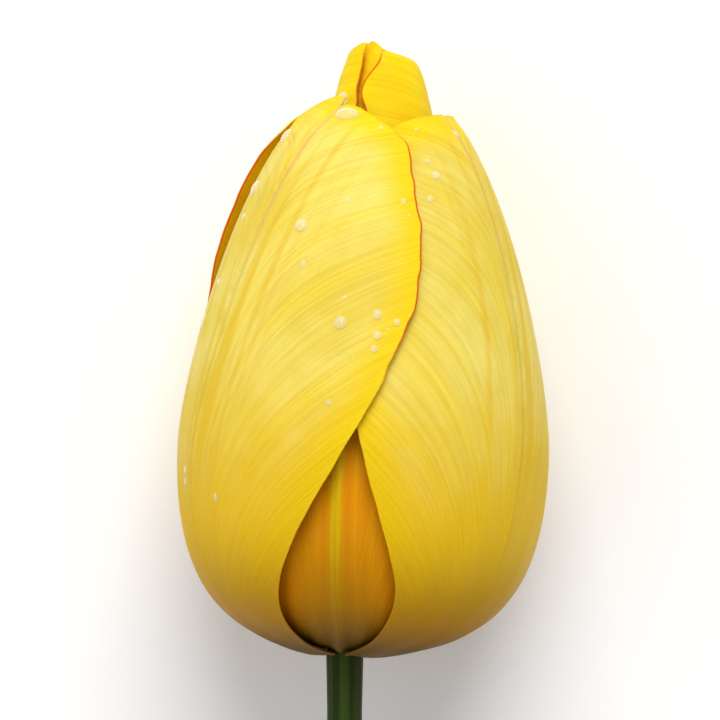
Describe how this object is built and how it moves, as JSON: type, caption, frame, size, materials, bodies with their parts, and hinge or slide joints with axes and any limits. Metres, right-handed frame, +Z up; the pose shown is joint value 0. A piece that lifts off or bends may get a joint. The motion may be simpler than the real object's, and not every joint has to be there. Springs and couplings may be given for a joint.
{
  "type": "cut tulip",
  "caption": "Closed tulip bloom with overlapping petals on a cut leafless stem, lying on its side.",
  "frame": {"origin": "centre of the underside of the whole flower's box, on the surface that it lies on", "axes": "+Y from the cut end of the stem towards the tip of the bloom, +Z up, +X to the bloom's right as seen from above with the tip away"},
  "size_m": [0.0485, 0.21, 0.0478],
  "materials": {
    "outer_petal": "satin",
    "inner_petal": "satin",
    "stem": "satin",
    "pistil": "satin",
    "filament": "matte",
    "anther": "matte",
    "water": "gloss"
  },
  "bodies": {
    "root": {"outer_petal_left": "outer_petal", "outer_petal_right": "outer_petal", "outer_petal_under": "outer_petal", "inner_petal_front": "inner_petal", "inner_petal_left": "inner_petal", "inner_petal_right": "inner_petal", "stem": "stem", "pistil": "pistil", "filament_1": "filament", "filament_2": "filament", "filament_3": "filament", "filament_4": "filament", "filament_5": "filament", "filament_6": "filament", "anther_1": "anther", "anther_2": "anther", "anther_3": "anther", "anther_4": "anther", "anther_5": "anther", "anther_6": "anther"}
  },
  "joints": []
}
